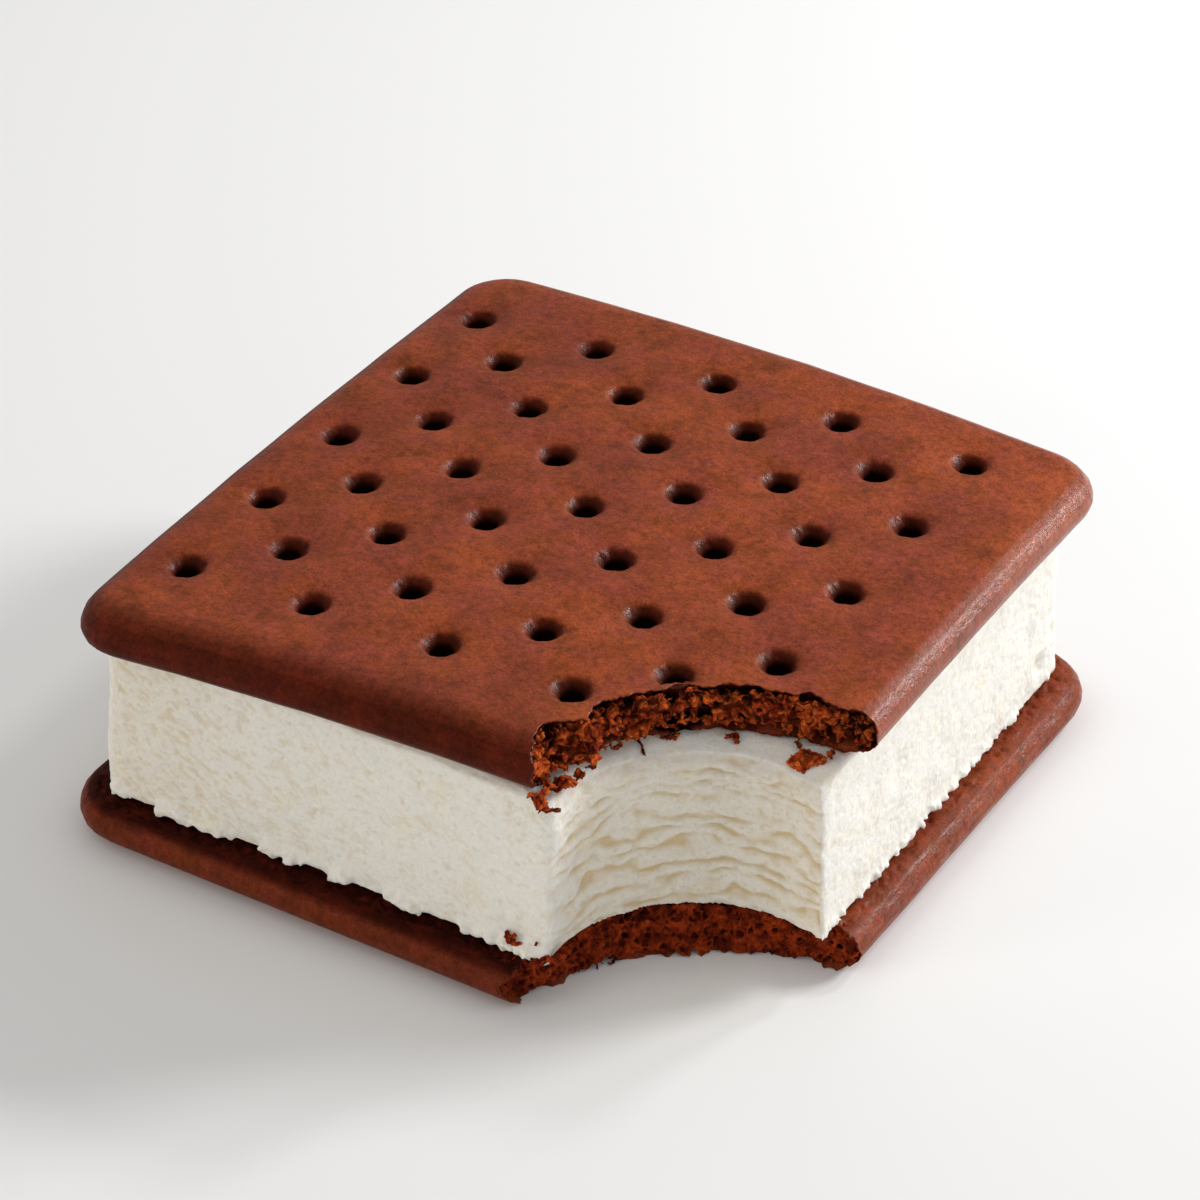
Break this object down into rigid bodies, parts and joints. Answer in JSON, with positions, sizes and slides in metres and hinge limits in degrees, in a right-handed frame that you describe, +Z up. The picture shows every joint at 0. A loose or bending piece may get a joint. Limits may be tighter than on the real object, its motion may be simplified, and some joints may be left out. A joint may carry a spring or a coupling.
{
  "type": "ice cream sandwich",
  "caption": "Square ice cream sandwich: docked chocolate wafers above and below a slab of vanilla ice cream, with a corner bitten off.",
  "frame": {"origin": "middle of the sandwich's footprint, on the surface it rests on", "axes": "+Z up through the layers, +X and +Y along the sides, with the bite at the +X, -Y corner"},
  "size_m": [0.0848, 0.0857, 0.0314],
  "materials": {
    "chocolate_wafer": "soft baked chocolate wafer, satin and faintly sticky outside, rough crumb where bitten",
    "vanilla_ice_cream": "frozen vanilla ice cream, cut sides fine and porous, bitten face in soft ridges"
  },
  "bodies": {
    "root": {"wafer_top": "chocolate_wafer", "ice_cream": "vanilla_ice_cream", "wafer_bottom": "chocolate_wafer"}
  },
  "joints": []
}
